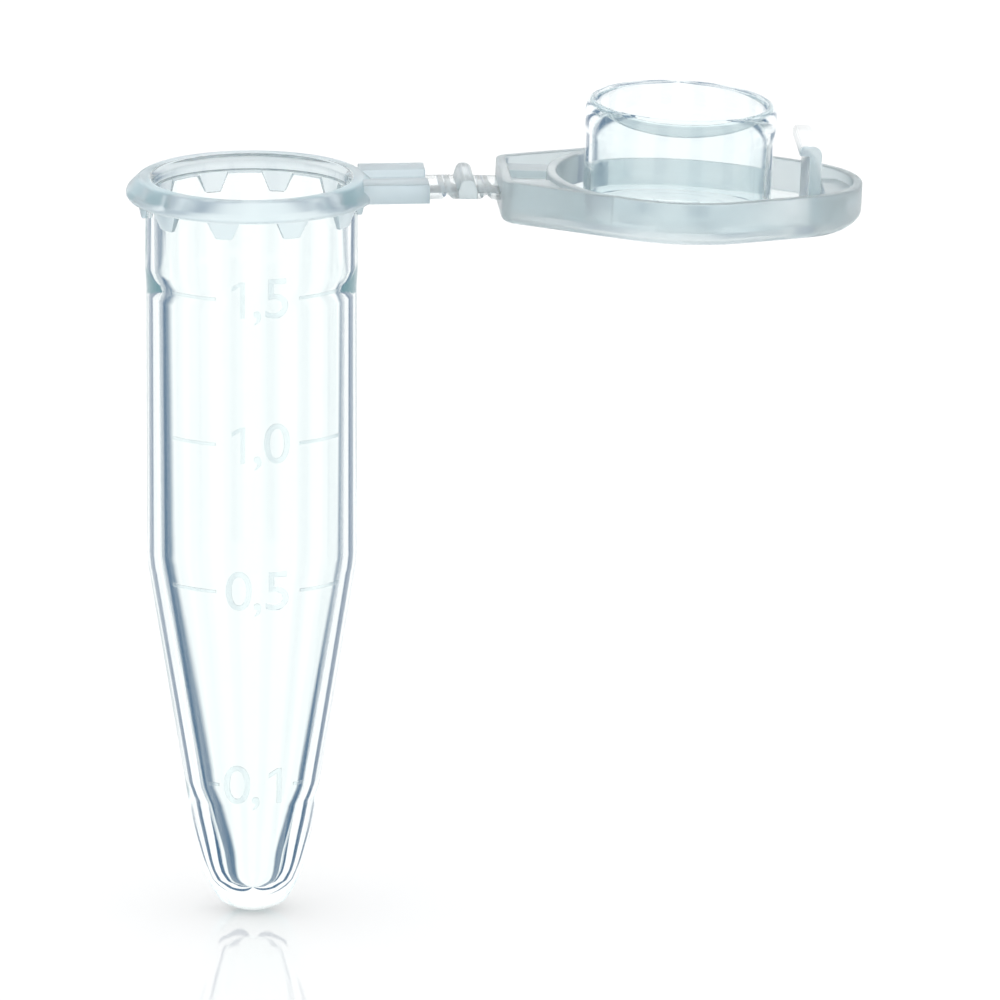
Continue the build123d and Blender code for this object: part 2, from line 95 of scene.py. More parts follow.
class Workpiece:
    """One mesh object, started from a primitive and shaped with edit-mode operators.

    Every size that a method takes is in millimetres.
    """

    def __init__(self, name: str, add: Callable[..., object], **settings: object) -> None:
        """Add the primitive that the piece starts from.

        Args:
            name: The object's name.
            add: The operator that adds the primitive.
            settings: The operator's own settings, in metres.
        """
        bpy.ops.object.select_all(action="DESELECT")
        add(**settings)
        self.obj: bpy.types.Object = bpy.context.object
        self.obj.name = name
        self.obj.data.name = name
        self.settle()

    @classmethod
    def adopt(cls, name: str) -> "Workpiece":
        """Take over the active text or curve object, made a mesh."""
        piece = cls.__new__(cls)
        bpy.ops.object.convert(target="MESH")
        piece.obj = bpy.context.object
        piece.obj.name = piece.obj.data.name = name
        piece.settle()
        return piece

    def settle(self) -> None:
        """Put the object's place, turn and size into its mesh."""
        bpy.context.view_layer.update()
        self.obj.data.transform(self.obj.matrix_world)
        self.obj.matrix_world = Matrix.Identity(4)

    def activate(self) -> None:
        """Make this the only selected object."""
        bpy.ops.object.select_all(action="DESELECT")
        self.obj.select_set(True)
        bpy.context.view_layer.objects.active = self.obj

    @contextmanager
    def editing(self) -> Iterator[None]:
        """Edit mode on this piece alone, with nothing selected."""
        self.activate()
        bpy.ops.object.mode_set(mode="EDIT")
        bpy.ops.mesh.select_all(action="DESELECT")
        yield
        bpy.ops.object.mode_set(mode="OBJECT")

    def select(self, kind: Pick, wanted: Callable[[object], bool]) -> int:
        """Select only the elements that a test wants, and say how many they are."""
        bpy.ops.mesh.select_mode(type=kind.value)
        bpy.ops.mesh.select_all(action="DESELECT")
        mesh = bmesh.from_edit_mesh(self.obj.data)
        elements = {Pick.POINTS: mesh.verts, Pick.EDGES: mesh.edges, Pick.FACES: mesh.faces}[kind]
        chosen = [element for element in elements if wanted(element)]
        for element in chosen:
            element.select_set(True)
        bmesh.update_edit_mesh(self.obj.data)
        return len(chosen)

    def pick(self, kind: Pick, test: Callable[[Vector], bool]) -> int:
        """Select the elements whose corners all pass a test of their place.

        Args:
            kind: Points, edges or faces.
            test: Takes a corner's place in millimetres and says whether it counts.

        Returns:
            How many elements are selected.
        """
        def inside(element: object) -> bool:
            corners = [element] if kind is Pick.POINTS else element.verts
            return all(test(corner.co / MM) for corner in corners)
        return self.select(kind, inside)

    def pick_faces_towards(self, way: Vector, test: Callable[[Vector], bool]) -> None:
        """Select faces by the way they look and the place of their middle."""
        self.select(Pick.FACES, lambda face: face.normal.dot(way) > FACING
                    and test(face.calc_center_median() / MM))

    def pick_along(self, way: Vector, test: Callable[[Vector], bool]) -> None:
        """Select edges that run along a direction and whose ends pass a test of their place."""
        def runs(edge: object) -> bool:
            run = (edge.verts[1].co - edge.verts[0].co).normalized()
            return abs(run.dot(way)) > ALONG and all(test(corner.co / MM) for corner in edge.verts)
        self.select(Pick.EDGES, runs)

    def drop_flat(self) -> None:
        """Deselect edges whose two faces lie in one plane."""
        mesh = bmesh.from_edit_mesh(self.obj.data)
        for edge in mesh.edges:
            if edge.select and len(edge.link_faces) == 2:
                first, second = edge.link_faces
                if first.normal.dot(second.normal) > IN_PLANE:
                    edge.select_set(False)
        bmesh.update_edit_mesh(self.obj.data)

    def bevel(self, width: float, steps: int) -> None:
        """Round the selected edges."""
        bpy.ops.mesh.bevel(offset=width * MM, segments=steps, profile=0.5, affect="EDGES")

    def round_edges(self, test: Callable[[Vector], bool], width: float, steps: int) -> None:
        """Round the edges whose ends pass a test of their place."""
        with self.editing():
            self.pick(Pick.EDGES, test)
            self.bevel(width, steps)

    def round_ring(self, radius: float, z: float, width: float, steps: int, x: float = 0) -> None:
        """Round the edge ring that lies at a radius and height about an upright axis at x."""
        def on_ring(p: Vector) -> bool:
            return abs(p.z - z) < NEAR and abs(hypot(p.x - x, p.y) - radius) < NEAR
        with self.editing():
            if not self.pick(Pick.EDGES, on_ring):
                raise ValueError(f"{self.obj.name}: no ring at r {radius}, z {z}")
            self.bevel(width, steps)

    def slice_at(self, way: Vector, places: Sequence[float]) -> None:
        """Cut edges across the whole piece at distances along a direction."""
        with self.editing():
            for place in places:
                bpy.ops.mesh.select_all(action="SELECT")
                bpy.ops.mesh.bisect(plane_co=way * place * MM, plane_no=way)

    def move_points(self, move: Callable[[Vector], Vector],
                    test: Callable[[Vector], bool] = lambda p: True) -> None:
        """Move all points, or those that pass a test; both functions work in millimetres."""
        for point in self.obj.data.vertices:
            place = point.co / MM
            if test(place):
                point.co = move(place) * MM
        self.obj.data.update()

    def combine(self, other: "Workpiece", how: Join) -> None:
        """Combine with another closed piece, which is used up."""
        self.activate()
        step = self.obj.modifiers.new(how.name.lower(), "BOOLEAN")
        step.operation = how.value
        step.solver = "EXACT"
        step.object = other.obj
        bpy.ops.object.modifier_apply(modifier=step.name)
        bpy.data.objects.remove(other.obj)

    def add_copies(self, places: Sequence[Matrix]) -> None:
        """Join copies of the piece, each moved by a matrix in metres."""
        copies = []
        for place in places:
            copy = self.obj.copy()
            copy.data = self.obj.data.copy()
            bpy.context.collection.objects.link(copy)
            copy.data.transform(place)
            copies.append(copy)
        self.activate()
        for copy in copies:
            copy.select_set(True)
        bpy.ops.object.join()

    def absorb(self, *others: "Workpiece") -> None:
        """Join other pieces into this one without welding them."""
        self.activate()
        for other in others:
            other.obj.select_set(True)
        bpy.ops.object.join()

    def place(self, matrix: Matrix) -> None:
        """Move the mesh by a matrix in metres."""
        self.obj.data.transform(matrix)

    def finish(self, smooth_below: float = 32) -> bpy.types.Object:
        """Merge doubles, turn the faces outwards and smooth shallow edges.

        Args:
            smooth_below: Edges flatter than this many degrees are shaded smooth.

        Returns:
            The finished object.
        """
        with self.editing():
            bpy.ops.mesh.select_all(action="SELECT")
            bpy.ops.mesh.remove_doubles(threshold=0.0005 * MM)
            bpy.ops.mesh.dissolve_degenerate(threshold=0.0002 * MM)
            bpy.ops.mesh.normals_make_consistent(inside=False)
        self.activate()
        bpy.ops.object.shade_smooth_by_angle(angle=radians(smooth_below))
        return self.obj


def dress(obj: bpy.types.Object, *finishes: bpy.types.Material) -> None:
    """Give a piece its finishes, in the order that its faces number them."""
    obj.data.materials.clear()
    for finish in finishes:
        obj.data.materials.append(finish)


def block(name: str, x: Range, y: Range, z: Range) -> Workpiece:
    """Box between pairs of coordinates, as a start for a piece."""
    sizes = [(high - low) * MM for low, high in (x, y, z)]
    middle = [(high + low) / 2 * MM for low, high in (x, y, z)]
    return Workpiece(name, bpy.ops.mesh.primitive_cube_add, size=1, location=middle, scale=sizes)


def disc(name: str, radius: float, z: Range, x: float, facets: int = 160) -> Workpiece:
    """Upright round bar between two heights, as a start for a piece."""
    return Workpiece(
        name, bpy.ops.mesh.primitive_cylinder_add, vertices=facets, radius=radius * MM,
        depth=(z[1] - z[0]) * MM, location=(x * MM, 0, (z[0] + z[1]) / 2 * MM),
    )


def grooved_bar(name: str, x: Range, half_w: float, z: Range) -> Workpiece:
    """Bar in line with the strap, with a groove along its top and softened edges."""
    piece = block(name, x, (-half_w, half_w), z)
    sides = (-GROOVE_HALF_W, GROOVE_HALF_W)
    piece.combine(block("groove", (x[0] - 1, x[1] + 1), sides, (-GROOVE_DEPTH, 1)), Join.CUT)
    piece.round_edges(lambda p: p.z > -GROOVE_DEPTH - NEAR, BAR_EDGE, 3)
    return piece


def turned(name: str, profile: Sequence[Point2], x: float = 0, facets: int = 160,
           solid: bool = True) -> Workpiece:
    """Turn a profile about an upright axis: a circle is extruded and resized from ring to ring.

    Args:
        name: The object's name.
        profile: Radius and height of each ring.
        x: Where the axis stands.
        facets: Points in each ring.
        solid: Whether both ends meet the axis; otherwise the last ring joins the first.
    """
    (first_r, first_z), *_ = profile
    centre = (x * MM, 0, 0)
    piece = Workpiece(
        name, bpy.ops.mesh.primitive_circle_add, vertices=facets, radius=first_r * MM,
        location=(x * MM, 0, first_z * MM),
    )
    with piece.editing():
        bpy.ops.mesh.select_mode(type=Pick.EDGES.value)
        bpy.ops.mesh.select_all(action="SELECT")
        for (r0, z0), (r1, z1) in pairwise(profile):
            bpy.ops.mesh.extrude_edges_move(TRANSFORM_OT_translate={"value": (0, 0, (z1 - z0) * MM)})
            bpy.ops.transform.resize(value=(r1 / r0, r1 / r0, 1), center_override=centre)
        if solid:
            for radius, z in (profile[0], profile[-1]):
                def at_pole(p: Vector, radius: float = radius, z: float = z) -> bool:
                    return abs(p.z - z) < 1e-4 and hypot(p.x - x, p.y) < radius * 1.01
                piece.pick(Pick.POINTS, at_pole)
                bpy.ops.mesh.merge(type="CENTER")
        else:
            bpy.ops.mesh.select_all(action="DESELECT")
            bpy.ops.mesh.select_non_manifold()
            bpy.ops.mesh.bridge_edge_loops()
        bpy.ops.mesh.select_all(action="SELECT")
        bpy.ops.mesh.normals_make_consistent(inside=False)
    return piece


# ---- shader maths
class Signal:
    """A socket that can be used in arithmetic; each operation adds its Math node."""

    def __init__(self, graph: "Graph", socket: bpy.types.NodeSocket) -> None:
        """Wrap a socket of a graph."""
        self.graph, self.socket = graph, socket

    def _math(self, operation: str, first: object, second: object) -> "Signal":
        """Add a Math node on two values."""
        return self.graph.node("Math", {"operation": operation}, {0: first, 1: second})

    def __add__(self, other: object) -> "Signal":
        """Sum."""
        return self._math("ADD", self, other)

    def __sub__(self, other: object) -> "Signal":
        """Difference."""
        return self._math("SUBTRACT", self, other)

    def __rsub__(self, other: object) -> "Signal":
        """Difference from a number."""
        return self._math("SUBTRACT", other, self)

    def __mul__(self, other: object) -> "Signal":
        """Product."""
        return self._math("MULTIPLY", self, other)

    __radd__, __rmul__ = __add__, __mul__

    def between(self, low: float, high: float) -> "Signal":
        """Smooth step from 0 at low to 1 at high; low may be the larger."""
        if low > high:
            return 1 - self.between(high, low)
        return self.graph.node(
            "MapRange", {"interpolation_type": "SMOOTHSTEP"}, {0: self, 1: low, 2: high, 3: 0.0, 4: 1.0}
        )


class Graph:
    """The nodes of one material or of the world."""

    def __init__(self, tree: bpy.types.NodeTree) -> None:
        """Start with an empty tree."""
        self.tree = tree
        self.tree.nodes.clear()

    def node(self, kind: str, settings: dict[str, object], inputs: dict[int | str, object],
             output: int | str = 0) -> Signal:
        """Add any node.

        Args:
            kind: The node's type without its ShaderNode prefix.
            settings: The node's own settings, set before its sockets.
            inputs: Values or signals by socket number or name.
            output: Which output is wanted.

        Returns:
            The wanted output as a signal.
        """
        node = self.tree.nodes.new("ShaderNode" + kind)
        for key, value in settings.items():
            setattr(node, key, value)
        for key, value in inputs.items():
            if isinstance(value, Signal):
                self.tree.links.new(value.socket, node.inputs[key])
            else:
                node.inputs[key].default_value = value
        return Signal(self, node.outputs[output])

    def noise(self, place: Signal, scale: float, detail: float = 2.0, seed: float = 0.0) -> Signal:
        """Even noise from 0 to 1; scale is in features per metre."""
        return self.node(
            "TexNoise", {"noise_dimensions": "4D"},
            {"Vector": place, "W": seed, "Scale": scale, "Detail": detail, "Roughness": 0.55},
        )

    def mix(self, share: Signal, low: Colour, high: Colour) -> Signal:
        """Blend two colours."""
        return self.node(
            "Mix", {"data_type": "RGBA"}, {"Factor": share, 6: low, 7: high}, output=2
        )

    def place(self) -> Signal:
        """Place on the object, in metres."""
        return self.node("TexCoord", {}, {}, output="Object")

    def stretched(self, place: Signal, scale: tuple[float, float, float]) -> Signal:
        """The same place with each axis scaled."""
        return self.node("Mapping", {}, {"Vector": place, "Scale": scale})

    def end(self, shader: Signal) -> None:
        """Use a shader as the tree's surface."""
        kind = "OutputWorld" if isinstance(self.tree.id_data, bpy.types.World) else "OutputMaterial"
        output = self.tree.nodes.new("ShaderNode" + kind)
        self.tree.links.new(shader.socket, output.inputs["Surface"])


@dataclass(frozen=True)
class MouldedPolypropylene:
    """Natural polypropylene as the mould leaves it.

    The wall is tinted a little unevenly, carries faint flow streaks that run away from the gate,
    and takes the mould's own polish or fine spark grain on its surface.
    """

    name: str
    tint_pale: Colour
    tint_deep: Colour
    clearness: float            # share of the light that goes through instead of scattering
    roughness: Range
    grain_scale: float          # features per metre
    grain_depth: float          # millimetres
    streak_scale: tuple[float, float, float]
    streak_depth: float         # millimetres
    ior: float = 1.49
    painted_glow: Colour = (0.3, 0.85, 1.0, 1)      # painted glow: faint emission that stands in for light the bulk scatters back
    painted_glow_strength: float = 0.006
    cloud_scale: float = 320.0
    wear_scale: float = 1400.0

    def make(self) -> bpy.types.Material:
        """Build the material's nodes."""
        material = bpy.data.materials.new(self.name)
        material.use_nodes = True
        graph = Graph(material.node_tree)
        place = graph.place()
        streaks = graph.noise(graph.stretched(place, self.streak_scale), 1.0, 3.0, seed=2.0)
        cloud = graph.noise(place, self.cloud_scale, 3.0, seed=5.0)
        tint = graph.mix((streaks * 0.5 + cloud * 0.5).between(0.35, 0.65), self.tint_pale, self.tint_deep)
        wear = graph.noise(place, self.wear_scale, 4.0, seed=9.0)
        low, high = self.roughness
        roughness = wear.between(0.3, 0.75) * (high - low) + low
        grain = graph.noise(place, self.grain_scale, 2.0, seed=7.0)
        waves = graph.node(
            "Bump", {}, {"Strength": 1.0, "Distance": self.streak_depth * MM, "Height": streaks}
        )
        skin = graph.node(
            "Bump", {}, {"Strength": 1.0, "Distance": self.grain_depth * MM, "Height": grain, "Normal": waves}
        )
        # The emission is a painted glow on the plastic, not a lamp
        graph.end(graph.node("BsdfPrincipled", {}, {
            "Base Color": tint, "Roughness": roughness, "IOR": self.ior,
            "Transmission Weight": self.clearness, "Normal": skin,
            "Emission Color": self.painted_glow, "Emission Strength": self.painted_glow_strength,
        }))
        return material


CLEAR_WALL = MouldedPolypropylene(
    "polished_wall", (0.955, 0.982, 0.977, 1), (0.94, 0.975, 0.968, 1), 1.0, (0.01, 0.03),
    3000.0, 0.0002, (260.0, 260.0, 26.0), 0.0006,
)
# The lid's satin with a darker tint: painted shade on the collar and its teeth
SATIN_COLLAR_PAINTED_SHADE = MouldedPolypropylene(
    "satin_collar_painted_shade", (0.79, 0.88, 0.915, 1), (0.74, 0.85, 0.895, 1), 0.82, (0.3, 0.34),
    14000.0, 0.0001, (150.0, 150.0, 60.0), 0.002,
)
SATIN_LID = MouldedPolypropylene(
    "satin_lid", (0.86, 0.925, 0.935, 1), (0.82, 0.9, 0.92, 1), 0.82, (0.3, 0.34),
    14000.0, 0.0001, (150.0, 150.0, 60.0), 0.002,
)
CLEAR_PLUG = MouldedPolypropylene(
    "polished_plug", (0.955, 0.982, 0.984, 1), (0.92, 0.965, 0.972, 1), 1.0, (0.02, 0.05),
    3000.0, 0.0003, (240.0, 240.0, 60.0), 0.002,
)
THIN_FILM = MouldedPolypropylene(
    "worked_film", (0.95, 0.98, 0.985, 1), (0.92, 0.965, 0.98, 1), 0.9, (0.06, 0.14),
    3500.0, 0.0006, (500.0, 120.0, 120.0), 0.004,
)
RAISED_MARK = MouldedPolypropylene(
    "raised_mark", (0.93, 0.965, 0.97, 1), (0.89, 0.94, 0.95, 1), 0.94, (0.05, 0.12),
    4000.0, 0.0006, (260.0, 260.0, 60.0), 0.002,
)


# ---- tube
@dataclass
class Tube:
    """The tube: collar with its teeth, seal neck, barrel, cone, thick tip and strap, as one moulding."""

    facets: int = 192
    bore_r: float = 5.0
    mouth_r: float = 5.2
    lead_in: float = 0.3
    neck_r: float = 5.46
    barrel_r: float = 5.4
    seal_end_z: float = -4.9
    step_end_z: float = -5.8
    barrel_end_z: float = -20.1
    barrel_in: Range = (4.82, 4.74)
    cone_half_angle: float = 9.25
    tip_start: Point2 = (2.66, -32.2)
    tip_round_z: float = -35.1
    shoulder: Point2 = (1.75, -38.2)
    bottom_z: float = -38.8
    well_top: Point2 = (2.4, -33.1)
    well_waist: Point2 = (1.6, -36.1)
    well_bottom_z: float = -37.6
    collar_top_r: float = 5.8
    collar_flare: Point2 = (6.36, -0.55)
    collar_bulge: Point2 = (6.46, -0.82)
    collar_under: Point2 = (6.32, -1.05)
    pole_r: float = 0.03
    teeth: int = 10
    tooth_top_w: float = 1.87
    tooth_end_w: float = 0.84
    tooth_r: Range = (5.92, 5.66)
    tooth_end_z: float = -2.05
    strap_half_w: float = 2.5
    strap_h: float = 1.0
    strap_x: Range = (5.62, 9.0)
    tooth_edge: float = 0.07
    tooth_root: float = 0.06    # how far a tooth is let into the neck and the collar
    satin_lip: float = 0.4      # satin part of the collar's flat top
    satin_gap: float = 0.02     # what keeps clear faces apart from satin ones
    satin_drop: float = 0.1     # how far satin may reach below the teeth
    sink: float = 0.01          # keeps welded faces from lying in one plane

    def cone_radius(self, z: float) -> float:
        """Outside radius of the cone at a height."""
        return self.barrel_r - (self.barrel_end_z - z) * tan(radians(self.cone_half_angle))

    def bowl(self, edge: Point2, bottom_z: float, steps: int) -> list[Point2]:
        """Rings of a round bottom from the axis up to an edge."""
        rise = edge[1] - bottom_z
        ball = (edge[0] ** 2 + rise ** 2) / (2 * rise)
        return [(max(edge[0] * i / steps, self.pole_r),
                 bottom_z + ball - (ball ** 2 - (edge[0] * i / steps) ** 2) ** 0.5) for i in range(steps + 1)]

    def cheek(self, steps: int) -> list[Point2]:
        """Rings of the rounded side between the cone and the bottom, without its ends."""
        start = Vector((self.cone_radius(self.tip_round_z), self.tip_round_z))
        end = Vector(self.shoulder)
        slope = radians(self.cone_half_angle)
        along = Vector((-sin(slope), -cos(slope)))
        across = Vector((-cos(slope), sin(slope)))
        chord = end - start
        ball = chord.length_squared / (2 * chord.dot(across))
        centre = start + across * ball
        sweep = 2 * atan(chord.dot(across) / chord.dot(along))
        return [
            tuple(centre + (along * sin(sweep * i / steps) - across * cos(sweep * i / steps)) * ball)
            for i in range(1, steps)
        ]

    def profile(self) -> list[Point2]:
        """Rings from the bottom of the well, up the inside, over the collar and down the outside."""
        inside = self.bowl(self.well_waist, self.well_bottom_z, 7) + [
            self.well_top, self.tip_start, (self.barrel_in[1], self.barrel_end_z),
            (self.barrel_in[0], self.step_end_z), (self.bore_r, self.seal_end_z),
            (self.bore_r, -self.lead_in), (self.mouth_r, 0),
        ]
        outside = [
            (self.collar_top_r, 0), self.collar_flare, self.collar_bulge, self.collar_under,
            (self.neck_r, self.collar_under[1]), (self.neck_r, self.seal_end_z),
            (self.barrel_r, self.step_end_z), (self.barrel_r, self.barrel_end_z),
            (self.cone_radius(self.tip_round_z), self.tip_round_z),
        ]
        sole = self.bowl(self.shoulder, self.bottom_z, 8)[::-1]
        return inside + outside + self.cheek(8) + sole

    def body(self) -> Workpiece:
        """The turned part, with its edges rounded as the mould rounds them."""
        piece = turned("tube_moulding", self.profile(), facets=self.facets)
        under_z = self.collar_under[1]
        for radius, z, width, steps in (
            (self.mouth_r, 0, 0.07, 3), (self.bore_r, -self.lead_in, 0.06, 2),
            (self.collar_top_r, 0, 0.12, 4), (*self.collar_flare, 0.09, 3),
            (*self.collar_bulge, 0.09, 3), (*self.collar_under, 0.07, 3),
            (self.neck_r, under_z, 0.1, 3), (self.bore_r, self.seal_end_z, 0.3, 5),
            (self.barrel_in[0], self.step_end_z, 0.3, 5), (self.neck_r, self.seal_end_z, 0.3, 3),
            (self.barrel_r, self.step_end_z, 0.3, 3), (self.barrel_r, self.barrel_end_z, 0.5, 5),
            (self.barrel_in[1], self.barrel_end_z, 0.5, 5), (*self.tip_start, 0.45, 6),
            (*self.well_top, 0.35, 6), (*self.well_waist, 0.25, 4),
        ):
            piece.round_ring(radius, z, width, steps)
        return piece

    def tooth_ring(self) -> Workpiece:
        """One tapered tooth bent to the neck's curve, and its copies round the neck."""
        root = self.neck_r - self.tooth_root
        top_z = self.collar_under[1] + self.tooth_root
        piece = block("collar_teeth_cut", (-0.5, 0.5), (-1, 0), (self.tooth_end_z, top_z))
        piece.slice_at(X, [-0.25, 0, 0.25])

        def bend(p: Vector) -> Vector:
            share = (top_z - p.z) / (top_z - self.tooth_end_z)
            outer = self.tooth_r[0] + (self.tooth_r[1] - self.tooth_r[0]) * share
            width = self.tooth_top_w + (self.tooth_end_w - self.tooth_top_w) * share
            radius = root - p.y * (outer - root)
            turn = p.x * width / outer
            return Vector((radius * sin(turn), -radius * cos(turn), p.z))

        piece.move_points(bend)
        piece.round_edges(lambda p: p.z < self.tooth_end_z + NEAR, self.tooth_edge, 2)
        pitch = 2 * pi / self.teeth
        piece.place(Matrix.Rotation(pitch / 2, 4, "Z"))
        piece.add_copies([Matrix.Rotation(i * pitch, 4, "Z") for i in range(1, self.teeth)])
        return piece

    def strap(self) -> Workpiece:
        """The bar towards the lid, with a groove along its top and softened edges."""
        return grooved_bar("strap_bar", self.strap_x, self.strap_half_w, (-self.strap_h, -self.sink))

    def make(self) -> bpy.types.Object:
        """Weld the parts into one piece and dress it."""
        piece = self.body()
        piece.combine(self.tooth_ring(), Join.WELD)
        piece.combine(self.strap(), Join.WELD)
        obj = piece.finish()
        dress(obj, CLEAR_WALL.make(), SATIN_COLLAR_PAINTED_SHADE.make())
        # Collar and teeth take the satin finish, whose darker tint is painted shade
        for face in obj.data.polygons:
            x, y, z = face.center / MM
            out = hypot(x, y)
            collar = out > self.collar_top_r - self.satin_lip and z > self.collar_under[1] - self.satin_gap
            tooth = out > self.neck_r + self.satin_gap and z > self.tooth_end_z - self.satin_drop
            face.material_index = 1 if collar or tooth or x > self.collar_bulge[0] else 0
        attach(obj, "tube")
        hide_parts("collar_ring", "collar_teeth", "seal_neck", "barrel", "cone_wall", "tip", "strap")
        return obj


@dataclass
class VolumeMarks:
    """Raised volume figures and ring segments, wrapped on the front of the tube's wall."""

    tube: Tube
    raise_mm: float = 0.034
    stand_off: float = 0.004
    digit_h: float = 1.9
    letter_fit: float = 0.63    # height of a figure over its letter size
    columns: tuple[float, ...] = (-1.0, -0.04, 0.96)
    stroke: float = 0.24
    one_shift: float = 0.2
    flag: Point2 = (-0.42, -0.26)
    tick_h: float = 0.17
    start_y: float = -8.0
    strip: float = 0.15         # width of the strips that let flat pieces bend
    strips: tuple[int, int] = (32, 9)       # on each side of the middle, across and up
    # volume: figures, height of their middle, inner and outer end of the ring segments
    marks: tuple[tuple[int, str, float, Range], ...] = (
        (1500, "1,5", -5.25, (2.15, 4.25)), (1000, "1,0", -12.9, (2.15, 4.25)),
        (500, "0,5", -20.7, (2.15, 4.25)), (100, "0,1", -31.4, (1.9, 2.4)),
    )

    def wall_radius(self, z: float) -> float:
        """Outside radius of the tube at a height."""
        tube = self.tube
        if z > tube.barrel_end_z:
            share = min(max((tube.seal_end_z - z) / (tube.seal_end_z - tube.step_end_z), 0), 1)
            return tube.neck_r + (tube.barrel_r - tube.neck_r) * share
        return tube.cone_radius(z)

    def wrap(self, piece: Workpiece, z: float) -> None:
        """Lay a flat piece on the wall and give it its thickness."""
        across, up = self.strips
        piece.slice_at(X, [i * self.strip for i in range(-across, across + 1)])
        piece.slice_at(Z, [z + i * self.strip for i in range(-up, up + 1)])

        def on_wall(p: Vector) -> Vector:
            radius = self.wall_radius(p.z) + self.stand_off
            return Vector((p.x, -(radius ** 2 - p.x ** 2) ** 0.5, p.z))

        piece.move_points(on_wall)
        piece.activate()
        step = piece.obj.modifiers.new("thickness", "SOLIDIFY")
        step.thickness = self.raise_mm * MM
        step.offset = 1.0
        bpy.ops.object.modifier_apply(modifier=step.name)

    def flat(self, name: str, x: float, z: float, width: float, height: float) -> Workpiece:
        """Upright flat bar in front of the wall."""
        piece = Workpiece(name, bpy.ops.mesh.primitive_plane_add, size=MM,
                          location=(x * MM, self.start_y * MM, z * MM), rotation=(pi / 2, 0, 0))
        piece.move_points(lambda p: Vector((
            x + (p.x - x) * width, p.y, z + (p.z - z) * height)))
        return piece

    def one(self, x: float, z: float) -> Workpiece:
        """The figure 1: a stem whose upper end is drawn out into a flag."""
        top = z + self.digit_h / 2
        left = x + self.one_shift - self.stroke / 2
        piece = self.flat("figure_1", x + self.one_shift, z, self.stroke, self.digit_h)
        piece.slice_at(Z, [top - self.stroke])
        with piece.editing():
            piece.pick(Pick.EDGES, lambda p: p.x < left + NEAR and p.z > top - self.stroke - NEAR)
            bpy.ops.mesh.extrude_edges_move(TRANSFORM_OT_translate={
                "value": (self.flag[0] * MM, 0, self.flag[1] * MM)})
        return piece

    def letter(self, text: str, x: float, z: float) -> Workpiece:
        """Any other figure, or the comma, centred on its place."""
        bpy.ops.object.select_all(action="DESELECT")
        bpy.ops.object.text_add(rotation=(pi / 2, 0, 0))
        curve = bpy.context.object.data
        curve.body = text
        curve.size = self.digit_h / self.letter_fit * MM
        curve.resolution_u = 6
        piece = Workpiece.adopt("figure")
        corners = [point.co / MM for point in piece.obj.data.vertices]
        middle = (min(p.x for p in corners) + max(p.x for p in corners)) / 2
        low = z - self.digit_h / 2
        piece.move_points(lambda p: Vector((p.x - middle + x, self.start_y, p.z + low)))
        return piece

    def figures(self, volume: int, text: str, z: float) -> Workpiece:
        """Figures of one volume."""
        row = [self.one(x, z) if sign == "1" else self.letter(sign, x, z)
               for sign, x in zip(text, self.columns)]
        row[0].absorb(*row[1:])
        row[0].obj.name = row[0].obj.data.name = f"figures_{volume}_ul"
        return row[0]

    def ticks(self, volume: int, z: float, reach: Range) -> Workpiece:
        """The ring segment on one side, and its twin on the other."""
        width, middle = reach[1] - reach[0], (reach[0] + reach[1]) / 2
        piece = self.flat(f"ring_segments_{volume}_ul", -middle, z, width, self.tick_h)
        piece.add_copies([Matrix.Translation((2 * middle * MM, 0, 0))])
        return piece

    def make(self) -> list[bpy.types.Object]:
        """Build, dress and place the marks of every volume."""
        finish = RAISED_MARK.make()
        made = []
        for volume, text, z, reach in self.marks:
            for piece, node in ((self.figures(volume, text, z), "digits"),
                                (self.ticks(volume, z, reach), "ring_marks")):
                self.wrap(piece, z)
                obj = piece.finish()
                dress(obj, finish)
                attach(obj, "tube")
                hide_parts(f"{node}_{volume}_ul")
                made.append(obj)
        return made


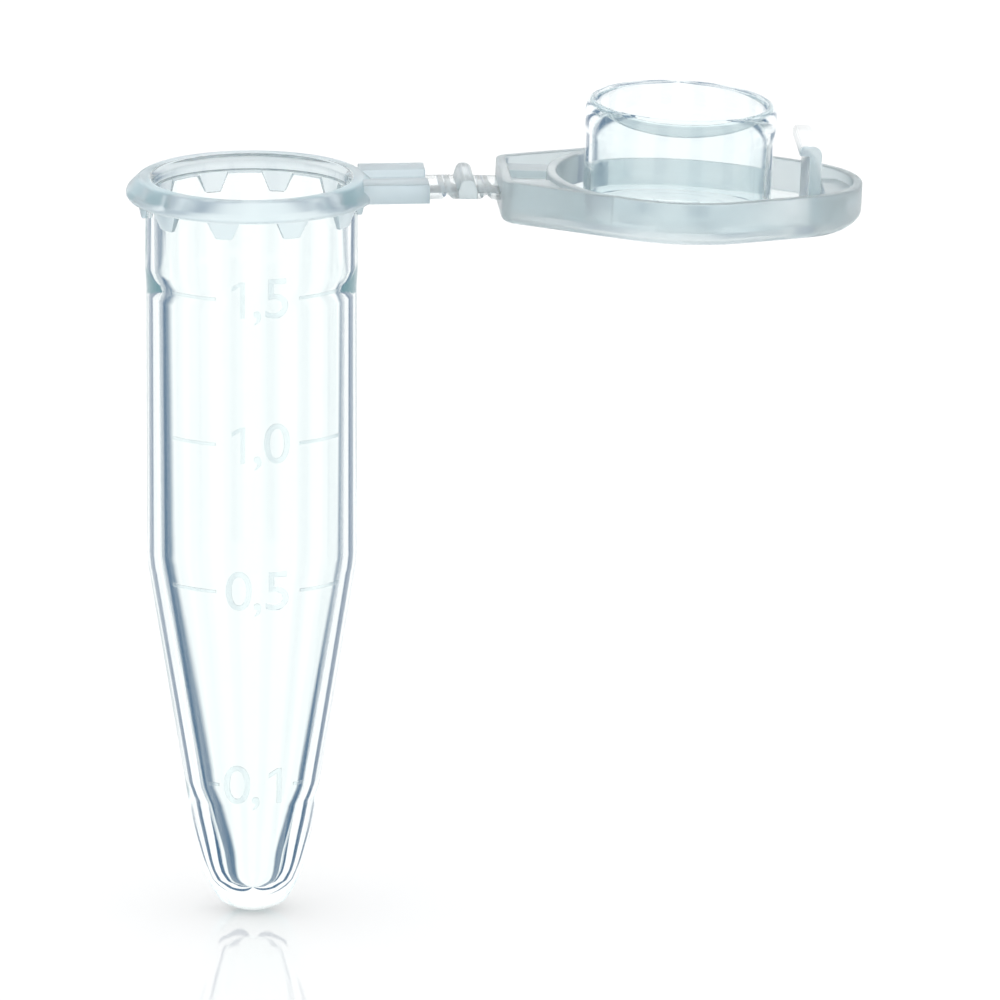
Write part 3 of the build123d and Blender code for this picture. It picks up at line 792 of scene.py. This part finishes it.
# ---- strap hinges
@dataclass
class StrapHinge:
    """Two thin bending films with a stiff lump between them."""

    droop: float = 1.45
    films: tuple[tuple[float, float, float, str, str], ...] = (
        # near end, fold line, far end, body on each side
        (8.98, 9.95, 10.52, "tube", "knuckle"), (11.48, 11.95, 12.72, "knuckle", "lid"),
    )
    half_w: float = 2.0
    top_z: float = -0.55
    thickness: float = 0.35
    waist: float = 0.12
    waist_run: float = 0.34
    bend_reach: float = 0.42
    edge: float = 0.04
    stations: int = 10
    lump_x: float = 11.0
    lump_half: Range = (0.5, 0.32)      # at its foot and at its top
    lump_top_z: float = 0.1
    lump_round: float = 0.26

    def fold(self, x: float) -> Matrix:
        """Turn by the droop about a fold line of the flat moulding."""
        line = Matrix.Translation((x * MM, 0, self.top_z * MM))
        return line @ Matrix.Rotation(radians(self.droop), 4, "Y") @ line.inverted()

    def knuckle_place(self) -> Matrix:
        """From the flat moulding to the lump at rest."""
        return self.fold(self.films[0][1])

    def lid_place(self) -> Matrix:
        """From the flat moulding to the lid at rest."""
        return self.knuckle_place() @ self.fold(self.films[1][1])

    def film(self, name: str, ends: Range, line: float, start: Matrix, end: Matrix) -> Workpiece:
        """A film that thins to its waist at the fold line, already drooping by its own share.

        Args:
            name: The piece's name.
            ends: Where the film starts and ends along the strap.
            line: Where its fold line is.
            start: Place of the part before the fold line.
            end: Place of the part after it.
        """
        piece = block(name, ends, (-self.half_w, self.half_w), (self.top_z - self.thickness, self.top_z))
        reach = self.bend_reach
        steps = [line + reach * i / self.stations for i in range(-self.stations, self.stations + 1)]
        piece.slice_at(X, steps)
        low = self.top_z - self.thickness + NEAR

        def thinned(p: Vector) -> Vector:
            away = min(abs(p.x - line) / self.waist_run, 1)
            share = away * away * (3 - 2 * away)
            depth = self.waist + (self.thickness - self.waist) * share
            return Vector((p.x, p.y, self.top_z - depth))

        piece.move_points(thinned, lambda p: p.z < low)
        with piece.editing():
            piece.pick_along(X, lambda p: abs(p.y) > self.half_w - NEAR)
            piece.bevel(self.edge, 2)

        def drooped(p: Vector) -> Vector:
            share = min(max((p.x - line + reach) / (2 * reach), 0), 1)
            share = share * share * (3 - 2 * share)
            return (start @ (p * MM) * (1 - share) + end @ (p * MM) * share) / MM

        piece.move_points(drooped)
        return piece

    def lump(self) -> Workpiece:
        """The stiff lump: straight foot, tapered sides, round crown."""
        foot, top = self.lump_half
        piece = block(
            "hinge_lump", (self.lump_x - foot, self.lump_x + foot), (-self.half_w, self.half_w),
            (self.top_z - self.thickness, self.lump_top_z),
        )
        piece.slice_at(Z, [self.top_z])
        with piece.editing():
            piece.pick(Pick.POINTS, lambda p: p.z > self.lump_top_z - NEAR)
            bpy.ops.transform.resize(value=(top / foot, 1, 1), center_override=(self.lump_x * MM, 0, 0))
            piece.pick_along(Y, lambda p: p.z > self.lump_top_z - NEAR)
            piece.bevel(self.lump_round, 6)
            piece.pick(Pick.EDGES, lambda p: abs(p.y) > self.half_w - NEAR)
            piece.bevel(self.edge, 2)
        return piece

    def make(self) -> list[bpy.types.Object]:
        """Build, dress and place the films and the lump."""
        film_finish = THIN_FILM.make()
        still, middle, lid = Matrix.Identity(4), self.knuckle_place(), self.lid_place()
        made = []
        for (x0, line, x1, body, next_body), name, places, nodes in zip(
            self.films, ("strap_film_near_tube", "strap_film_near_lid"), ((still, middle), (middle, lid)),
            (("strap_film", "knuckle_film_inner"), ("knuckle_film_outer", "lid_film")),
        ):
            obj = self.film(name, (x0, x1), line, *places).finish(40)
            dress(obj, film_finish)
            line_at_rest = places[0] @ Vector((line * MM, 0, self.top_z * MM))
            step = Vector((self.bend_reach * MM, 0, 0))
            line_at_rest - step
            line_at_rest + step
            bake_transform(obj)
            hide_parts(*nodes)
            made.append(obj)
        piece = self.lump()
        piece.place(middle)
        obj = piece.finish(40)
        dress(obj, SATIN_LID.make())
        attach(obj, "knuckle")
        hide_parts("hinge_knuckle")
        return made + [obj]


# ---- lid
@dataclass
class Lid:
    """The lid: drop-shaped tray with a wall round it, arm, thumb tab and the hollow plug."""

    x: float = 21.9
    r: float = 6.749
    top_z: float = 0.3
    floor_z: float = -1.3
    bottom_z: float = -1.9
    wall: float = 0.5
    arm_end_x: float = 12.7
    arm_half_w: float = 3.05
    arm_corner: float = 0.6
    tab_r: float = 4.5
    tab_reach: float = 9.5
    tab_rise: float = 0.4
    tab_rise_length: float = 2.9
    under_round: float = 0.4
    rim_round: float = 0.1
    ring_wall_x: float = -3.6
    bar_half_w: float = 2.5
    bar_end: float = -6.26
    thumb_start: float = 7.5
    thumb_half_w: float = 2.2
    thumb_top_z: float = -0.2
    plug_in_r: float = 4.42
    plug_r: float = 4.84
    bead: tuple[Point2, ...] = (
        (4.84, 2.35), (4.885, 2.55), (4.925, 2.8), (4.95, 3.0), (4.96, 3.2), (4.945, 3.45), (4.9, 3.7),
        (4.82, 3.92), (4.74, 4.05), (4.66, 4.13), (4.58, 4.18), (4.5, 4.17), (4.44, 4.11),
    )
    floor_steps: tuple[Point2, ...] = ((3.9, -1.18), (2.5, -1.06), (1.2, -0.98))
    window: tuple[Range, Range] = ((5.3, 6.5), (-2.2, 2.2))
    pole_r: float = 0.03
    thumb_edge: float = 0.08
    step_edge: float = 0.04
    clear_reach: float = 0.3    # how far the clear finish goes outside the plug's wall
    sink: float = 0.05

    def tray(self) -> Workpiece:
        """The tray: three upright bars are hulled, hollowed from above and rounded below."""
        heights = (self.bottom_z, self.top_z)
        piece = disc("lid_moulding", self.r, heights, self.x, 192)
        tab = disc("lid_tab", self.tab_r, heights, self.x + self.tab_reach - self.tab_r, 160)
        arm = block("lid_arm", (self.arm_end_x, self.arm_end_x + 1),
                    (-self.arm_half_w, self.arm_half_w), heights)
        piece.absorb(tab, arm)
        with piece.editing():
            bpy.ops.mesh.select_all(action="SELECT")
            bpy.ops.mesh.convex_hull()
            bpy.ops.mesh.select_all(action="SELECT")
            bpy.ops.mesh.dissolve_limited(angle_limit=radians(0.2))
            piece.pick_along(Z, lambda p: p.x < self.arm_end_x + NEAR)
            piece.bevel(self.arm_corner, 7)
            piece.pick_faces_towards(Z, lambda p: p.z > self.top_z - NEAR)
            bpy.ops.mesh.inset(thickness=self.wall * MM, use_even_offset=True)
            bpy.ops.mesh.extrude_region_move(
                TRANSFORM_OT_translate={"value": (0, 0, (self.floor_z - self.top_z) * MM)})
            piece.pick(Pick.EDGES, lambda p: p.z < self.bottom_z + NEAR)
            piece.bevel(self.under_round, 6)
            piece.pick(Pick.EDGES, lambda p: p.z > self.top_z - NEAR)
            piece.drop_flat()
            piece.bevel(self.rim_round, 3)
        end = self.x + self.tab_reach
        start = end - self.tab_rise_length
        piece.slice_at(X, [start + self.tab_rise_length * i / 6 for i in range(6)])

        def lifted(p: Vector) -> Vector:
            share = (p.x - start) / self.tab_rise_length
            return Vector((p.x, p.y, p.z + self.tab_rise * share * share))

        piece.move_points(lifted, lambda p: p.x > start and p.z < self.floor_z - NEAR)
        return piece

    def ring_wall(self) -> Workpiece:
        """The round wall that runs on across the arm."""
        low, high = self.floor_z - self.sink, self.top_z - self.sink
        inner = self.r - self.wall
        piece = turned("arm_ring_wall_weld", [(inner, low), (self.r, low), (self.r, high), (inner, high)],
                       x=self.x, facets=192, solid=False)
        with piece.editing():
            bpy.ops.mesh.select_all(action="SELECT")
            bpy.ops.mesh.bisect(plane_co=((self.x + self.ring_wall_x) * MM, 0, 0), plane_no=(1, 0, 0),
                                clear_outer=True, use_fill=True)
            piece.pick(Pick.EDGES, lambda p: p.z > high - NEAR)
            piece.drop_flat()
            piece.bevel(self.rim_round, 3)
        return piece

    def arm_bar(self) -> Workpiece:
        """The grooved bar inside the arm, in line with the strap."""
        return grooved_bar("arm_bar_weld", (self.arm_end_x + self.wall / 2, self.x + self.bar_end),
                           self.bar_half_w, (self.floor_z - self.sink, 0))

    def thumb_bar(self) -> Workpiece:
        """The low block inside the thumb tab."""
        low = self.floor_z - self.sink
        piece = block("thumb_bar_weld", (self.x + self.thumb_start, self.x + self.tab_reach),
                      (-self.thumb_half_w, self.thumb_half_w), (low, self.thumb_top_z))
        piece.round_edges(lambda p: p.x < self.x + self.thumb_start + NEAR, self.thumb_edge, 3)
        limit = disc("thumb_limit", self.tab_r - self.wall / 2, (low - 1, 1),
                     self.x + self.tab_reach - self.tab_r)
        piece.combine(limit, Join.KEEP_COMMON)
        return piece

    def plug(self) -> Workpiece:
        """The hollow plug with its sealing bead and round lip."""
        low = self.floor_z - self.sink
        return turned("plug_weld", [(self.plug_in_r, low), (self.plug_r, low), *self.bead],
                      x=self.x, facets=192, solid=False)

    def steps(self) -> Workpiece:
        """The low round steps inside the plug."""
        low = self.floor_z - self.sink
        profile = [(self.pole_r, low), (self.floor_steps[0][0], low)]
        for (radius, z), following in zip(self.floor_steps, (*self.floor_steps[1:], (self.pole_r, 0))):
            profile += [(radius, z), (following[0], z)]
        piece = turned("floor_steps_weld", profile, x=self.x, facets=160)
        for radius, z in self.floor_steps:
            piece.round_ring(radius, z, self.step_edge, 2, x=self.x)
        return piece

    def make(self, place: Matrix) -> bpy.types.Object:
        """Weld the parts into one piece, dress it and place it.

        Args:
            place: From the flat moulding to the lid at rest.
        """
        piece = self.tray()
        for part in (self.plug(), self.steps(), self.ring_wall(), self.arm_bar(), self.thumb_bar()):
            piece.combine(part, Join.WELD)
        (x0, x1), sides = self.window
        slot = block("window_cut", (self.x + x0, self.x + x1), sides, (self.bottom_z - 1, 0))
        piece.combine(slot, Join.CUT)
        obj = piece.finish()
        dress(obj, SATIN_LID.make(), CLEAR_PLUG.make())
        for face in obj.data.polygons:
            centre = face.center / MM
            if hypot(centre.x - self.x, centre.y) < self.plug_r + self.clear_reach:
                face.material_index = 1
        piece.place(place)
        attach(obj, "lid")
        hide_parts("lid_tray", "arm_ring_wall", "arm_block", "thumb_block", "plug_wall",
                    "sealing_bead", "plug_floor_steps")
        return obj


@dataclass
class Latch:
    """The flexible post beside the plug, with its catch."""

    centre_x: float = 21.9
    faces: Range = (6.52, 7.15)
    half_w: float = 2.45
    foot_z: float = -1.31
    catch_z: float = 2.0
    top_z: float = 2.56
    nose_x: float = 6.0
    nose_slope: Point2 = (0.22, 0.26)
    crown: float = 0.5
    edge: float = 0.06

    def make(self, place: Matrix) -> bpy.types.Object:
        """Build, dress and place the latch.

        Args:
            place: From the flat moulding to the lid at rest.
        """
        inner, outer = self.centre_x + self.faces[0], self.centre_x + self.faces[1]
        tip = self.centre_x + self.nose_x
        piece = block("latch_hook", (inner, outer), (-self.half_w, self.half_w), (self.foot_z, self.top_z))
        piece.slice_at(Z, [self.catch_z])
        with piece.editing():
            piece.pick_faces_towards(-X, lambda p: p.z > self.catch_z)
            bpy.ops.mesh.extrude_region_move(TRANSFORM_OT_translate={"value": ((tip - inner) * MM, 0, 0)})
            piece.pick(Pick.EDGES, lambda p: p.x < tip + NEAR and p.z > self.top_z - NEAR)
            piece.bevel(self.nose_slope[0], 3)
            piece.pick(Pick.EDGES, lambda p: p.x > outer - NEAR and p.z > self.top_z - NEAR)
            piece.bevel(self.crown, 6)
            piece.pick(Pick.EDGES, lambda p: abs(p.y) > self.half_w - NEAR)
            piece.bevel(self.edge, 2)
        piece.place(place)
        obj = piece.finish(40)
        dress(obj, SATIN_LID.make())
        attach(obj, "latch")
        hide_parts("latch_post", "latch_nose")
        return obj


# ---- studio
@dataclass
class Studio:
    """A pale sweep, soft light from all round and the camera."""

    floor_size: float = 2.0
    floor_tint: Colour = (0.98, 0.985, 0.99, 1)
    floor_roughness: float = 0.06
    floor_ior: float = 1.7
    azimuth: float = -4.0
    elevation: float = 14.0
    distance: float = 1.6
    view_width: float = 51.25
    centre: Point2 = (12.745, -16.6)    # of the view, to the right and up, in millimetres
    sensor: float = 36.0
    pale: Colour = (1.0, 1.0, 1.0, 1)
    shade: Colour = (0.03, 0.1, 0.2, 1)
    side_turns: int = 8         # dark strips all round
    side_phase: float = 6.5     # degrees that they are turned by
    strip_edge: Range = (-0.1, -0.7)    # height of the wave where a strip starts and where it is full
    strip_top: Range = (0.1, -0.02)     # the same for the upward part of the way one looks
    clip: Range = (0.1, 20.0)
    light: float = 1.1
    brightest: float = 2.5      # of light that arrives by several turns
    bounces: int = 48           # light passes through many clear walls in a row

    def floor(self) -> None:
        """The glossy pale floor under the tip."""
        low = CAD_BOX[0][2]
        piece = Workpiece("studio_floor", bpy.ops.mesh.primitive_plane_add, size=self.floor_size,
                          location=(0, 0, low))
        material = bpy.data.materials.new("pale_floor")
        material.use_nodes = True
        graph = Graph(material.node_tree)
        graph.end(graph.node("BsdfPrincipled", {}, {
            "Base Color": self.floor_tint, "Roughness": self.floor_roughness, "IOR": self.floor_ior,
        }))
        dress(piece.obj, material)
        piece.obj.visible_transmission = False

    def world(self) -> None:
        """Even light, with darker strips low down all round that draw the edges of clear walls."""
        world = bpy.data.worlds.new("studio")
        bpy.context.scene.world = world
        world.use_nodes = True
        graph = Graph(world.node_tree)
        way = graph.node("TexCoord", {}, {}, output="Generated")
        split = graph.node("SeparateXYZ", {}, {"Vector": way})
        x, y, z = (Signal(graph, split.socket.node.outputs[i]) for i in range(3))
        turn = graph.node("Math", {"operation": "ARCTAN2"}, {0: x, 1: y})
        phase = (turn - radians(self.side_phase)) * self.side_turns
        wave = graph.node("Math", {"operation": "COSINE"}, {0: phase})
        strips = wave.between(*self.strip_edge) * z.between(*self.strip_top)
        through = graph.node("LightPath", {}, {}, output="Is Transmission Ray")
        share = strips * through
        colour = graph.mix(share, self.pale, self.shade)
        graph.end(graph.node("Background", {}, {"Color": colour, "Strength": self.light}))

    def camera(self) -> None:
        """The camera, far off with a long lens."""
        turn, tilt = radians(self.azimuth), radians(self.elevation)
        right = Vector((cos(turn), sin(turn), 0))
        back = Vector((sin(turn) * cos(tilt), -cos(turn) * cos(tilt), sin(tilt)))
        up = back.cross(right)
        aim = (right * self.centre[0] + up * self.centre[1]) * MM
        data = bpy.data.cameras.new("camera")
        data.sensor_width = self.sensor
        data.lens = self.sensor * self.distance / (self.view_width * MM)
        data.clip_start, data.clip_end = self.clip
        camera = bpy.data.objects.new("camera", data)
        camera.matrix_world = Matrix.Translation(aim + back * self.distance) @ Matrix(
            (right, up, back)).transposed().to_4x4()
        bpy.context.collection.objects.link(camera)
        bpy.context.scene.camera = camera

    def make(self) -> None:
        """Set up the whole studio."""
        self.floor()
        self.world()
        self.camera()
        scene = bpy.context.scene
        scene.view_settings.view_transform = "Standard"
        scene.cycles.max_bounces = scene.cycles.transmission_bounces = self.bounces
        scene.cycles.glossy_bounces = self.bounces
        scene.cycles.sample_clamp_indirect = self.brightest


def main() -> None:
    """Build, dress and place every piece."""
    logging.basicConfig(level=logging.INFO, format="%(name)s: %(message)s")
    tube, hinge = Tube(), StrapHinge()
    made = [tube.make(), *VolumeMarks(tube).make(), *hinge.make()]
    made += [Lid().make(hinge.lid_place()), Latch().make(hinge.lid_place())]
    for obj in made:
        log.info("%s: %d faces", obj.name, len(obj.data.polygons))
    Studio().make()


if __name__ == "__main__":
    main()
